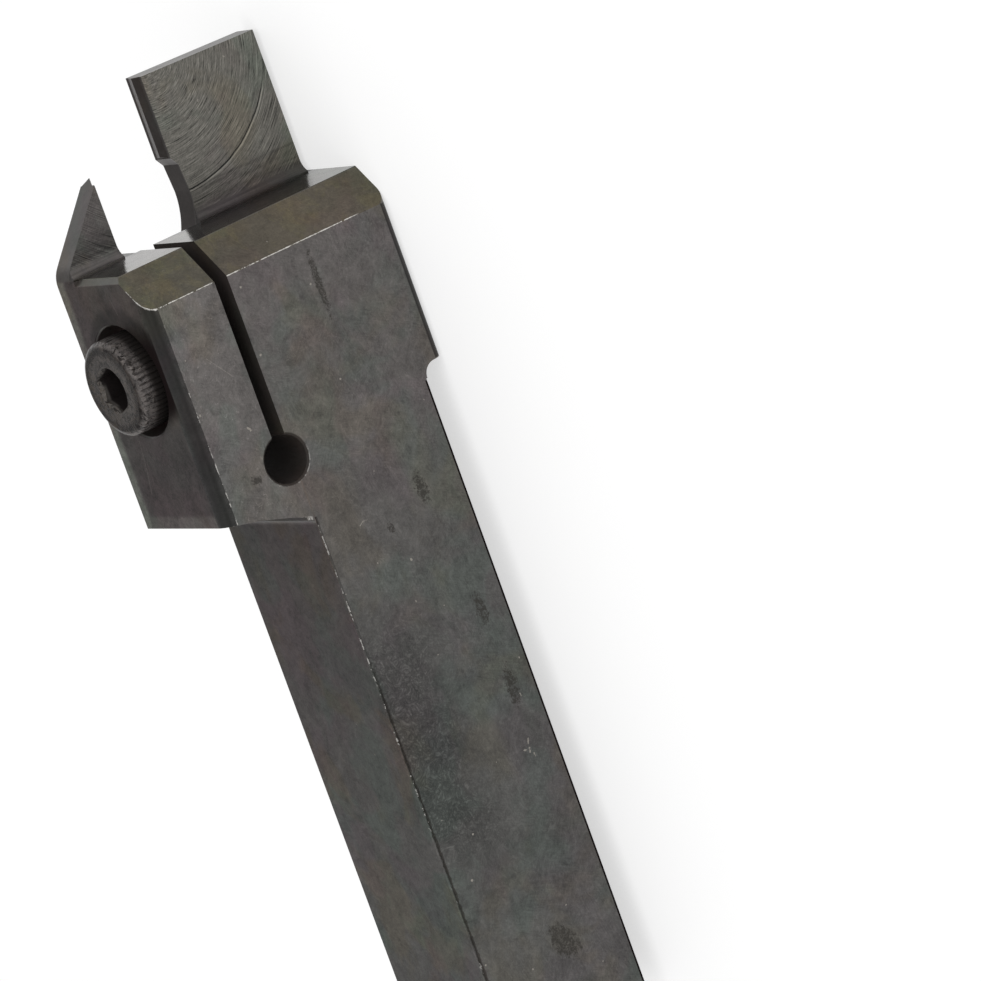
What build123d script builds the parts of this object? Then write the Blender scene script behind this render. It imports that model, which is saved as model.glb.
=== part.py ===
"""Parting blade holder: a square-shank lathe tool whose slotted head clamps a parting insert with one screw.

Frame: X runs along the shank to the blade's tip, Y across it, Z up. The near side is at negative Y. The origin is
on the shank's underside, in the middle of its width and of the flat that a tool post clamps.
"""
from build123d import *
import os
from math import cos, radians, sin, sqrt, tan

# Shank and overall reach
shank_size = 25.0
overall_length = 150.0
shank_edge_break = 0.35
shank_end_break = 0.8

# Head block, measured from its front face and from the shank's underside
head_width = 22.1
head_top = 38.9
head_top_length = 37.6
head_rear_slant = 4.25
head_rear_bulge = 0.45
head_rear_fillet = 1.2
head_edge_radius = 1.95
far_edge_break = 0.4
far_relief_radius = 6.0
front_edge_chamfer = 0.85
facet_size = 5.4

# Foot below the shank
foot_drop = 3.9
foot_length = 29.1
foot_root_radius = 2.0

# Blade and clamping finger, both in line with the far side of the head
blade_thickness = 4.3
blade_reach = 22.3
blade_bottom = -2.95
blade_front_relief = 1.2
root_radius = 2.0
seat_height = 16.85
seat_length = 12.4
seat_ramp_length = 1.2
scoop_front_depth = 0.85
scoop_low_depth = 1.15
scoop_flat_length = 4.1
scoop_rise = 2.05
finger_underside = 29.85
finger_reach = 11.0
finger_slope = 41.5
finger_bend_radius = 4.0
seat_ridge_height = 0.4
finger_ridge_height = 0.8
ridge_width = 3.0

# Pocket behind the seat, cut back further in the lower jaw than in the upper one
pocket_depth = 2.4
pocket_upper_depth = 0.3
pocket_side_room = 1.05
pocket_floor_radius = 1.5
pocket_roof_radius = 1.0

# Clamping slot and the round hole that ends it
slot_centre = 26.0
slot_width = 2.2
relief_setback = 5.0
relief_diameter = 7.0
relief_chamfer = 0.35

# Clamp screw and its seat
screw_distance = 15.3
screw_thread_diameter = 8.0
screw_head_diameter = 14.2
screw_head_height = 8.0
screw_length = 25.0
screw_proud = 3.3
screw_top_diameter = 11.4
screw_shoulder_height = 0.8
screw_head_fillet = 0.4
screw_tip_chamfer = 1.1
hex_across_flats = 6.0
hex_depth = 4.3
hex_mouth_chamfer = 0.12
knurl_count = 54
knurl_depth = 0.2
counterbore_diameter = 16.8
counterbore_edge_break = 0.25
screw_clearance_diameter = 9.0
thread_clearance = 0.04
screw_hole_run_out = 3.0
drill_tip_angle = 118.0

# Places that follow from the sizes
near_side = -shank_size / 2
far_side = near_side + head_width
front = (overall_length - blade_reach + foot_length + foot_root_radius) / 2
rear = front + blade_reach - overall_length
blade_near = far_side - blade_thickness
tip = front + blade_reach
blade_middle = far_side - blade_thickness / 2
pocket_near = blade_near - pocket_side_room
slope = radians(finger_slope)
finger_tip = front + finger_reach
slope_start = finger_tip - (head_top - finger_underside) / tan(slope)
screw_x = front - screw_distance
screw_y = near_side + head_width / 2
screw_top = head_top + screw_proud
screw_seat = screw_top - screw_head_height
screw_end = screw_seat - screw_length
reach_past = 10.0


def side_profile(*points):
    """Closed face in the side view from (x, z) points."""
    return make_face(Plane.XZ * Polyline(*points, close=True))


def across(face, start, end):
    """Solid of a side-view face carried across the tool from one Y to another."""
    return Pos(0, start, 0) * extrude(face, end - start, dir=(0, 1, 0))


def slab(x_low, x_high, y_low, y_high, z_low, z_high):
    """Block between two corners."""
    block = Box(x_high - x_low, y_high - y_low, z_high - z_low, align=(Align.MIN, Align.MIN, Align.MIN))
    return Pos(x_low, y_low, z_low) * block


def lengthwise_edges(solid, y, z):
    """Edges of a solid that run along X at one place in the cross-section."""
    found = solid.edges().filter_by(Axis.X)
    return found.filter_by(lambda edge: abs(edge.center().Y - y) < 0.01 and abs(edge.center().Z - z) < 0.01)


def shank():
    """Square bar with lightly broken edges, from its rear end to the foot's rear wall."""
    bar = slab(rear, front - foot_length, -shank_size / 2, shank_size / 2, 0, shank_size)
    bar = chamfer(bar.faces().sort_by(Axis.X)[0].edges(), shank_end_break)
    return chamfer(bar.edges().filter_by(Axis.X), shank_edge_break)


def head_block():
    """Head from its front face to its rear wall, with the foot below and rounded near edges."""
    rear_top = front - head_top_length
    rear_low = rear_top - head_rear_slant
    heel = front - foot_length
    middle_x = (rear_top + rear_low) / 2 + head_rear_bulge
    middle_z = (head_top + shank_size) / 2
    inside = shank_size / 2
    outline = [
        Line((front, -foot_drop), (front, head_top - front_edge_chamfer)),
        Line((front, head_top - front_edge_chamfer), (front - front_edge_chamfer, head_top)),
        Line((front - front_edge_chamfer, head_top), (rear_top, head_top)),
        ThreePointArc((rear_top, head_top), (middle_x, middle_z), (rear_low, shank_size)),
        Line((rear_low, shank_size), (rear_low, inside)),
        Line((rear_low, inside), (heel, inside)),
        Line((heel, inside), (heel, -foot_drop)),
        Line((heel, -foot_drop), (front, -foot_drop)),
    ]
    block = across(make_face(Plane.XZ * Curve(outline)), near_side, far_side)
    rounded = lengthwise_edges(block, near_side, head_top) + lengthwise_edges(block, near_side, -foot_drop)
    block = fillet(rounded, head_edge_radius)
    broken = lengthwise_edges(block, far_side, head_top) + lengthwise_edges(block, far_side, -foot_drop)
    return chamfer(broken, far_edge_break)


def foot_root():
    """Concave fillet where the foot's rear wall runs into the shank's underside."""
    heel = front - foot_length
    corner = slab(heel - foot_root_radius, heel, near_side, far_side, -foot_root_radius, shank_edge_break)
    cutter = Cylinder(foot_root_radius, 2 * shank_size, rotation=(90, 0, 0))
    return corner - Pos(heel - foot_root_radius, 0, -foot_root_radius) * cutter


def rear_root():
    """Concave fillet where the head's rear wall runs into the shank's top."""
    foot_of_wall = front - head_top_length - head_rear_slant
    size = head_rear_fillet
    corner = slab(foot_of_wall - size, foot_of_wall + size / 2, near_side, far_side, shank_size, shank_size + size)
    cutter = Cylinder(size, 2 * shank_size, rotation=(90, 0, 0))
    return corner - Pos(foot_of_wall - size, 0, shank_size + size) * cutter


def blade_plate():
    """Support blade in the side view, wide enough for the root fillet to be milled out of it."""
    base = front - pocket_depth
    relief = (seat_height - blade_bottom) * tan(radians(blade_front_relief))
    profile = side_profile((base, blade_bottom), (tip - relief, blade_bottom), (tip, seat_height), (base, seat_height))
    return across(profile, pocket_near, far_side)


def finger_plate():
    """Clamping finger in the side view, whose top bends down from the head's top."""
    base = front - pocket_depth
    tangent = finger_bend_radius * tan(slope / 2)
    bend_start = (slope_start - tangent, head_top)
    bend_end = (slope_start + tangent * cos(slope), head_top - tangent * sin(slope))
    outline = [
        Line((base, finger_underside), (finger_tip, finger_underside)),
        Line((finger_tip, finger_underside), bend_end),
        RadiusArc(bend_end, bend_start, -finger_bend_radius),
        Line(bend_start, (base, head_top)),
        Line((base, head_top), (base, finger_underside)),
    ]
    plate = across(make_face(Plane.XZ * Curve(outline)), pocket_near, far_side)
    far_edges = plate.edges().filter_by(lambda edge: edge.center().Y > far_side - 0.01)
    upper = far_edges.filter_by(lambda edge: edge.center().Z > (finger_underside + head_top) / 2 and edge.length > 1)
    return chamfer(upper.filter_by(lambda edge: edge.center().X > base + 0.01), far_edge_break)


def face_cutter():
    """Milled space in front of the head, up to the near face of the blade, with its corner rounded."""
    width = blade_near - near_side + reach_past
    space = Rectangle(blade_reach + reach_past, width, align=(Align.MIN, Align.MAX))
    corner = space.vertices().sort_by(Axis.X)[:2].sort_by(Axis.Y)[-1]
    space = Pos(front, blade_near) * fillet(corner, root_radius)
    height = head_top + foot_drop + 2 * reach_past
    return Pos(0, 0, -foot_drop - reach_past) * extrude(space, height)


def pocket_cutter():
    """Insert pocket between the seat and the finger, whose floor is scooped behind the seat and rises to the rear."""
    lower_back = front - pocket_depth
    upper_back = front - pocket_upper_depth
    seat_rear = tip - seat_length
    outside = tip + reach_past
    ramp_foot = (seat_rear - seat_ramp_length, seat_height - scoop_front_depth)
    low = (ramp_foot[0] - scoop_flat_length, seat_height - scoop_low_depth)
    floor_back = (lower_back, low[1] + scoop_rise)
    outline = [
        Line((outside, seat_height), (seat_rear, seat_height)),
        Line((seat_rear, seat_height), ramp_foot),
        Line(ramp_foot, low),
        TangentArc(low, floor_back, tangent=(-1, 0)),
        Line(floor_back, (lower_back, slot_centre)),
        Line((lower_back, slot_centre), (upper_back, slot_centre)),
        Line((upper_back, slot_centre), (upper_back, finger_underside)),
        Line((upper_back, finger_underside), (outside, finger_underside)),
        Line((outside, finger_underside), (outside, seat_height)),
    ]
    space = make_face(Curve(outline))
    for place, radius in ((floor_back, pocket_floor_radius), ((upper_back, finger_underside), pocket_roof_radius)):
        corner = space.vertices().filter_by(lambda v: abs(v.X - place[0]) < 0.01 and abs(v.Y - place[1]) < 0.01)
        space = fillet(corner, radius)
    return across(Plane.XZ * space, pocket_near, far_side + reach_past)


def ridge(start, end, face_height, rise):
    """Three-cornered rib that locates the insert, along X on the seat or, with a negative rise, under the finger."""
    half = ridge_width / 2
    section = [
        (blade_middle - half, face_height),
        (blade_middle, face_height + rise),
        (blade_middle + half, face_height),
        (blade_middle, face_height - rise),
    ]
    face = make_face(Plane.YZ * Polyline(*section, close=True))
    return Pos(start, 0, 0) * extrude(face, end - start, dir=(1, 0, 0))


def seat_ridge():
    """Rib along the seat, cut at the blade's front face."""
    rise = seat_ridge_height
    lead = rise * tan(radians(blade_front_relief))
    start = tip - seat_length
    rib = ridge(start, tip + rise, seat_height, rise)
    profile = side_profile(
        (start, seat_height - rise),
        (tip - lead, seat_height - rise),
        (tip + lead, seat_height + rise),
        (start + rise, seat_height + rise),
    )
    return rib & across(profile, pocket_near, far_side)


def finger_ridge():
    """Rib under the finger, cut by the finger's sloping top carried on past its tip."""
    rise = finger_ridge_height
    lead = rise / tan(slope)
    start = front + pocket_roof_radius - pocket_upper_depth
    rib = ridge(start, finger_tip + lead, finger_underside, -rise)
    profile = side_profile(
        (start, finger_underside + rise),
        (finger_tip - lead, finger_underside + rise),
        (finger_tip + lead, finger_underside - rise),
        (start + rise, finger_underside - rise),
    )
    return rib & across(profile, pocket_near, far_side)


def far_relief_cutter():
    """Space beside the head on the far side, which runs out into the shank with a round corner."""
    start = front - head_top_length - head_rear_slant
    space = Rectangle(front - start + reach_past, reach_past, align=(Align.MIN, Align.MIN))
    corner = space.vertices().sort_by(Axis.X)[:2].sort_by(Axis.Y)[0]
    space = Pos(start, far_side) * fillet(corner, far_relief_radius)
    return Pos(0, 0, -foot_drop - reach_past) * extrude(space, head_top + foot_drop + 2 * reach_past)


def facet_cutter():
    """Corner that is milled off between the front face and the near side, over the whole height."""
    outside = facet_size + reach_past
    corner = Polyline(
        (front - outside, near_side - reach_past),
        (front + reach_past, near_side - reach_past),
        (front + reach_past, near_side + outside),
        close=True,
    )
    height = head_top + foot_drop + 2 * reach_past
    return Pos(0, 0, -foot_drop - reach_past) * extrude(make_face(corner), height)


def slot_cutter():
    """Clamping slot from the front to the relief hole, with the hole and its broken edges."""
    relief_x = front - head_top_length + relief_setback
    slot = slab(relief_x, tip, near_side - 1, far_side + 1, slot_centre - slot_width / 2, slot_centre + slot_width / 2)
    hole = Cylinder(relief_diameter / 2, head_width + 2, rotation=(90, 0, 0))
    hole = Pos(relief_x, (near_side + far_side) / 2, slot_centre) * hole
    mouth_radius = relief_diameter / 2 + relief_chamfer
    near_cone = Cone(mouth_radius, relief_diameter / 2, relief_chamfer, rotation=(-90, 0, 0))
    far_cone = Cone(mouth_radius, relief_diameter / 2, relief_chamfer, rotation=(90, 0, 0))
    near_mouth = Pos(relief_x, near_side + relief_chamfer / 2, slot_centre) * near_cone
    far_mouth = Pos(relief_x, far_side - relief_chamfer / 2, slot_centre) * far_cone
    return slot + hole + near_mouth + far_mouth


def screw_hole_cutter():
    """Counterbore, clearance hole through the upper jaw and threaded hole in the lower one."""
    bottom = screw_end - screw_hole_run_out
    thread_radius = screw_thread_diameter / 2 + thread_clearance
    tip_depth = thread_radius / tan(radians(drill_tip_angle / 2))
    clearance_radius = screw_clearance_diameter / 2
    mouth = counterbore_diameter / 2
    outline = Polyline(
        (0, bottom - tip_depth),
        (thread_radius, bottom),
        (thread_radius, slot_centre),
        (clearance_radius, slot_centre),
        (clearance_radius, screw_seat),
        (mouth, screw_seat),
        (mouth, head_top - counterbore_edge_break),
        (mouth + counterbore_edge_break, head_top),
        (mouth + counterbore_edge_break, head_top + 1),
        (0, head_top + 1),
        close=True,
    )
    return Pos(screw_x, screw_y, 0) * revolve(make_face(Plane.XZ * outline), Axis.Z)


def holder_body():
    """The one-piece holder: shank, head, blade and finger, with everything milled out of it."""
    body = shank() - far_relief_cutter()
    body += head_block() + foot_root() + rear_root()
    plates = blade_plate() + finger_plate() - face_cutter()
    body += plates
    body -= pocket_cutter()
    body -= facet_cutter()
    body += seat_ridge() + finger_ridge()
    body -= slot_cutter()
    body -= screw_hole_cutter()
    return body


def clamp_screw():
    """Socket head screw with a knurled head and a hexagon socket, standing in its seat."""
    head_radius = screw_head_diameter / 2
    stem_radius = screw_thread_diameter / 2
    top_radius = screw_top_diameter / 2
    shoulder = screw_top - screw_shoulder_height
    half_turn = radians(45)
    rounding_middle = (
        top_radius + (head_radius - top_radius) * cos(half_turn),
        shoulder + screw_shoulder_height * sin(half_turn),
    )
    outline = [
        Line((0, screw_end), (stem_radius - screw_tip_chamfer, screw_end)),
        Line((stem_radius - screw_tip_chamfer, screw_end), (stem_radius, screw_end + screw_tip_chamfer)),
        Line((stem_radius, screw_end + screw_tip_chamfer), (stem_radius, screw_seat)),
        Line((stem_radius, screw_seat), (head_radius - screw_head_fillet, screw_seat)),
        Line((head_radius - screw_head_fillet, screw_seat), (head_radius, screw_seat + screw_head_fillet)),
        Line((head_radius, screw_seat + screw_head_fillet), (head_radius, shoulder)),
        ThreePointArc((head_radius, shoulder), rounding_middle, (top_radius, screw_top)),
        Line((top_radius, screw_top), (0, screw_top)),
        Line((0, screw_top), (0, screw_end)),
    ]
    turned = revolve(make_face(Plane.XZ * Curve(outline)), Axis.Z)
    knurl = Circle(head_radius) - PolarLocations(head_radius, knurl_count) * RegularPolygon(knurl_depth, 4)
    rim = Pos(0, 0, screw_seat) * extrude(knurl, screw_head_height)
    stem = Pos(0, 0, screw_end) * Cylinder(head_radius, screw_length, align=(Align.CENTER, Align.CENTER, Align.MIN))
    body = turned & (rim + stem)
    socket_radius = hex_across_flats / sqrt(3)
    socket = Pos(0, 0, screw_top - hex_depth) * extrude(RegularPolygon(socket_radius, 6), hex_depth)
    mouth_low = hex_across_flats / 2
    mouth_high = socket_radius + hex_mouth_chamfer
    mouth_depth = mouth_high - mouth_low
    body -= socket + Pos(0, 0, screw_top - mouth_depth / 2) * Cone(mouth_low, mouth_high, mouth_depth)
    return Pos(screw_x, screw_y, 0) * body


def main():
    """Write one STEP file for each piece."""
    os.makedirs("parts", exist_ok=True)
    pieces = {"holder_body": holder_body(), "clamp_screw": clamp_screw()}
    for name, piece in pieces.items():
        export_step(piece, f"parts/{name}.step")


main()
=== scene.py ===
"""Parting blade holder: its blackened steel, its clamp screw, a pale floor, soft light and the camera.

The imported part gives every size. Lengths in the classes below are in millimetres, unless their text says
otherwise, in the part's own frame: X runs along the shank to the blade's tip, Y across it, Z up.
"""
import logging
from dataclasses import dataclass
from enum import Enum
from math import cos, radians, sin, sqrt
from typing import Any, Optional, Union

import bmesh
import bpy
from mathutils import Matrix, Vector

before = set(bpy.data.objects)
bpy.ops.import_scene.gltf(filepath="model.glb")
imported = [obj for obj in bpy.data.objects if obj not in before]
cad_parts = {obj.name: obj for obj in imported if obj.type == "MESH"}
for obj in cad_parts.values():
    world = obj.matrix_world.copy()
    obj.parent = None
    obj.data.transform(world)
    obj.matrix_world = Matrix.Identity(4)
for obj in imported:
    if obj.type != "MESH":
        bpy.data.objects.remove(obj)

Colour = tuple[float, float, float, float]
Triple = tuple[float, float, float]

# A step's numbers say where it is 0 and where it is 1. A span's say where it starts and ends, and how softly.
Step = tuple[float, float]
Span = tuple[float, float, float]

log = logging.getLogger("holder")
MM = 0.001
WHITE: Colour = (1.0, 1.0, 1.0, 1.0)

# How far off a face its mask starts, how soft the edge of a mask is, and both for a face inside the piece.
SKIN = 0.12
SOFT = 0.1
FLAT: Step = (0.06, 0.1)

# The stretch and the shift that leave a place as it is.
EVEN: Triple = (1.0, 1.0, 1.0)
UNMOVED: Triple = (0.0, 0.0, 0.0)


def grey(level: float) -> Colour:
    """A neutral colour of a level from 0 to 1."""
    return (level, level, level, 1.0)


class Value:
    """A shader socket that takes part in Python expressions."""

    def __init__(self, graph: "Graph", socket: bpy.types.NodeSocket) -> None:
        """Keeps the socket and the graph that it belongs to."""
        self.graph = graph
        self.socket = socket

    def _math(self, operation: str, *operands: "Number") -> "Value":
        """One Math node on the operands."""
        return self.graph.node("ShaderNodeMath", {"operation": operation}, dict(enumerate(operands)))

    def __add__(self, other: "Number") -> "Value":
        """Sum."""
        return self._math("ADD", self, other)

    def __radd__(self, other: "Number") -> "Value":
        """Sum with the socket on the right."""
        return self._math("ADD", other, self)

    def __sub__(self, other: "Number") -> "Value":
        """Difference."""
        return self._math("SUBTRACT", self, other)

    def __rsub__(self, other: "Number") -> "Value":
        """Difference with the socket on the right."""
        return self._math("SUBTRACT", other, self)

    def __mul__(self, other: "Number") -> "Value":
        """Product."""
        return self._math("MULTIPLY", self, other)

    def __rmul__(self, other: "Number") -> "Value":
        """Product with the socket on the right."""
        return self._math("MULTIPLY", other, self)

    def __truediv__(self, other: "Number") -> "Value":
        """Quotient."""
        return self._math("DIVIDE", self, other)

    def __abs__(self) -> "Value":
        """Size without the sign."""
        return self._math("ABSOLUTE", self)

    def root(self) -> "Value":
        """Square root."""
        return self._math("SQRT", self)

    def angle_to(self, other: "Number") -> "Value":
        """Angle of the point (other, self) in radians."""
        return self._math("ARCTAN2", self, other)

    def most(self, other: "Number") -> "Value":
        """The larger of two."""
        return self._math("MAXIMUM", self, other)

    def least(self, other: "Number") -> "Value":
        """The smaller of two."""
        return self._math("MINIMUM", self, other)

    def rise(self, low: float, high: float) -> "Value":
        """Soft step from 0 at low to 1 at high.

        Args:
            low: where it is 0.
            high: where it is 1, which may be the lower of the two.

        Returns:
            The step.
        """
        sign = 1.0 if high > low else -1.0
        return self.graph.node(
            "ShaderNodeMapRange",
            {"interpolation_type": "SMOOTHSTEP", "clamp": True},
            {0: self if sign > 0 else self * sign, 1: low * sign, 2: high * sign, 3: 0.0, 4: 1.0},
        )

    def near(self, centre: float, half: float, soft: float) -> "Value":
        """1 within half of a centre, falling softly to 0."""
        return abs(self - centre).rise(half + soft, half)

    def between(self, low: float, high: float, soft: float = SOFT) -> "Value":
        """1 between two limits, falling softly to 0 outside them."""
        return self.near((low + high) / 2, (high - low) / 2, soft)

    def up_to(self, face: float) -> "Value":
        """1 at and beyond a face, 0 a little before it."""
        return self.rise(face - SKIN, face - SKIN / 3)

    def down_to(self, face: float) -> "Value":
        """1 at and below a face, 0 a little above it."""
        return self.rise(face + SKIN, face + SKIN / 3)


Number = Union[float, Value]


def length(*parts: Value) -> Value:
    """Distance of a point from the origin.

    Args:
        parts: the point's place along each axis.

    Returns:
        The distance.
    """
    total = parts[0] * parts[0]
    for part in parts[1:]:
        total = total + part * part
    return total.root()


def any_of(*masks: Value) -> Value:
    """The largest of several masks.

    Args:
        masks: the masks.

    Returns:
        Their maximum at each spot.
    """
    joined = masks[0]
    for mask in masks[1:]:
        joined = joined.most(mask)
    return joined


class Ray(Enum):
    """Kinds of ray that see the white background."""

    CAMERA = "Is Camera Ray"
    GLOSSY = "Is Glossy Ray"
    TRANSMISSION = "Is Transmission Ray"


class Output(Enum):
    """Where a graph's shader goes."""

    MATERIAL = "ShaderNodeOutputMaterial"
    WORLD = "ShaderNodeOutputWorld"


class Graph:
    """The node tree of one material or of the surroundings."""

    def __init__(self, owner: Union[bpy.types.Material, bpy.types.World]) -> None:
        """Empties the owner's tree.

        Args:
            owner: the material or the world.
        """
        owner.use_nodes = True
        self.owner = owner
        self.tree = owner.node_tree
        self.tree.nodes.clear()

    @classmethod
    def of_material(cls, name: str) -> "Graph":
        """The graph of a new material."""
        return cls(bpy.data.materials.new(name))

    def add(
        self,
        kind: str,
        settings: Optional[dict[str, Any]] = None,
        inputs: Optional[dict[Union[int, str], Any]] = None,
    ) -> bpy.types.Node:
        """Adds one node.

        Args:
            kind: the node's type.
            settings: its properties, with the key stops for a colour ramp's (place, colour) pairs.
            inputs: values or links of its sockets, by index or name.

        Returns:
            The new node.
        """
        made = self.tree.nodes.new(kind)
        for name, setting in (settings or {}).items():
            if name == "stops":
                for element, (place, colour) in zip(made.color_ramp.elements, setting):
                    element.position = place
                    element.color = colour
            else:
                setattr(made, name, setting)
        for key, value in (inputs or {}).items():
            if isinstance(value, Value):
                self.tree.links.new(value.socket, made.inputs[key])
            else:
                made.inputs[key].default_value = value
        return made

    def node(
        self,
        kind: str,
        settings: Optional[dict[str, Any]] = None,
        inputs: Optional[dict[Union[int, str], Any]] = None,
        output: Union[int, str] = 0,
    ) -> Value:
        """Adds one node and gives one of its outputs.

        Args:
            kind: the node's type.
            settings: its properties, as for add.
            inputs: values or links of its sockets, by index or name.
            output: which of its outputs to give back.

        Returns:
            The chosen output.
        """
        return Value(self, self.add(kind, settings, inputs).outputs[output])

    def place(self) -> "Place":
        """The place on the piece.

        Returns:
            The place in millimetres, from the piece's Object coordinates.
        """
        spot = self.node("ShaderNodeTexCoord", output="Object")
        split = self.add("ShaderNodeSeparateXYZ", inputs={0: spot})
        return Place(self, *(Value(self, output) * (1.0 / MM) for output in split.outputs))

    def mix(self, factor: Number, first: Union[Colour, Value], second: Union[Colour, Value]) -> Value:
        """Blend of two colours."""
        return self.node("ShaderNodeMix", {"data_type": "RGBA"}, {0: factor, 6: first, 7: second}, 2)

    def multiply(self, first: Value, second: Value) -> Value:
        """Product of two colours."""
        settings = {"data_type": "RGBA", "blend_type": "MULTIPLY"}
        return self.node("ShaderNodeMix", settings, {0: 1.0, 6: first, 7: second}, 2)

    def shade(self, colour: Value, amount: Number) -> Value:
        """A colour made lighter or darker by a factor."""
        return self.node("ShaderNodeVectorMath", {"operation": "SCALE"}, {0: colour, "Scale": amount})

    def bump(self, height: Value, distance: float, strength: float) -> Value:
        """Surface normal pushed by a height.

        Args:
            height: the height from 0 to 1.
            distance: what a height of 1 stands for, in metres.
            strength: how much of it is used.

        Returns:
            The pushed normal.
        """
        inputs = {"Height": height, "Distance": distance, "Strength": strength}
        return self.node("ShaderNodeBump", inputs=inputs)

    def seen_white(self) -> Value:
        """1 for the kinds of ray that see the white background."""
        path = self.add("ShaderNodeLightPath")
        return any_of(*(Value(self, path.outputs[ray.value]) for ray in Ray))

    def surface(self, shader: Value, output: Output = Output.MATERIAL) -> Any:
        """Sends a shader to the output.

        Args:
            shader: the finished shader.
            output: which kind of output the tree has.

        Returns:
            The material or world that owns the tree.
        """
        self.add(output.value, inputs={"Surface": shader})
        return self.owner


@dataclass(frozen=True)
class Pattern:
    """A noise.

    Its scale is in cells for each unit, then come its finer layers, how strong they are and how much it is
    swirled. Each axis of the place is stretched and then shifted before the noise is read.
    """

    scale: float
    detail: float = 2.0
    roughness: float = 0.5
    twist: float = 0.0
    stretch: Triple = EVEN
    shift: Triple = UNMOVED


class Place:
    """A place in millimetres, as three values and as a vector."""

    def __init__(self, graph: Graph, x: Number, y: Number, z: Number) -> None:
        """Keeps the three values and joins them into a vector.

        Args:
            graph: the graph that the values belong to.
            x: the place along the first axis.
            y: the place along the second.
            z: the place along the third.
        """
        self.graph = graph
        self.x = x
        self.y = y
        self.z = z
        self.vector = graph.node("ShaderNodeCombineXYZ", inputs={0: x, 1: y, 2: z})

    def noise(self, pattern: Pattern) -> Value:
        """Noise from 0 to 1 at this place.

        Args:
            pattern: which noise.

        Returns:
            The noise's value.
        """
        where = self.vector
        if (pattern.stretch, pattern.shift) != (EVEN, UNMOVED):
            where = self.graph.node(
                "ShaderNodeVectorMath",
                {"operation": "MULTIPLY_ADD"},
                {0: where, 1: pattern.stretch, 2: pattern.shift},
            )
        inputs = {
            "Vector": where,
            "Scale": pattern.scale,
            "Detail": pattern.detail,
            "Roughness": pattern.roughness,
            "Distortion": pattern.twist,
        }
        return self.graph.node("ShaderNodeTexNoise", inputs=inputs)

    def cells(self, scale: float) -> tuple[Value, Value]:
        """Scattered points.

        Args:
            scale: how many there are in one unit.

        Returns:
            The distance to the nearest point in cells, and that point's own random number.
        """
        made = self.graph.add("ShaderNodeTexVoronoi", inputs={"Vector": self.vector, "Scale": scale})
        colour = Value(self.graph, made.outputs["Color"])
        random = self.graph.node("ShaderNodeSeparateColor", inputs={0: colour})
        return Value(self.graph, made.outputs["Distance"]), random


@dataclass(frozen=True)
class Layer:
    """A noise over the steel: how much it counts everywhere, and what busy and upper faces add to that."""

    pattern: Pattern
    plain: float
    busy: float
    upper: float

    def over(self, at: Place, busy: Value, upper: Value) -> Value:
        """The layer's lightness around 0."""
        return (at.noise(self.pattern) - 0.5) * (self.plain + busy * self.busy + upper * self.upper)


@dataclass(frozen=True)
class Patch:
    """A noise cut into soft-edged patches: the levels at which they start and are full."""

    pattern: Pattern
    start: float
    full: float

    def over(self, at: Place) -> Value:
        """Mask of the patches."""
        return at.noise(self.pattern).rise(self.start, self.full)


@dataclass(frozen=True)
class Tint:
    """A colour that large soft patches are tinted with: how strongly, and the shift that tells them apart."""

    colour: Colour
    amount: float
    shift: float


@dataclass(frozen=True)
class Scuff:
    """Fine parallel scratches: their slant in degrees, their fineness along and across, and a shift."""

    slant: float
    along: float
    over: float
    shift: float


@dataclass(frozen=True)
class Wear:
    """Rubbing along an edge: how far it reaches, the share of the edge that is worn, and its strength."""

    reach: float
    share: float
    strength: float = 1.0


@dataclass(frozen=True)
class Mark:
    """A stain on the near side: its place along X and Z, its half lengths and its slant in degrees."""

    x: float
    z: float
    long: float
    wide: float
    slant: float


@dataclass(frozen=True)
class Scratch:
    """A bright scratch on a flat face: its ends along the shank and across the face, and its half width."""

    x: float
    across: float
    to_x: float
    to_across: float
    half: float


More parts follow.
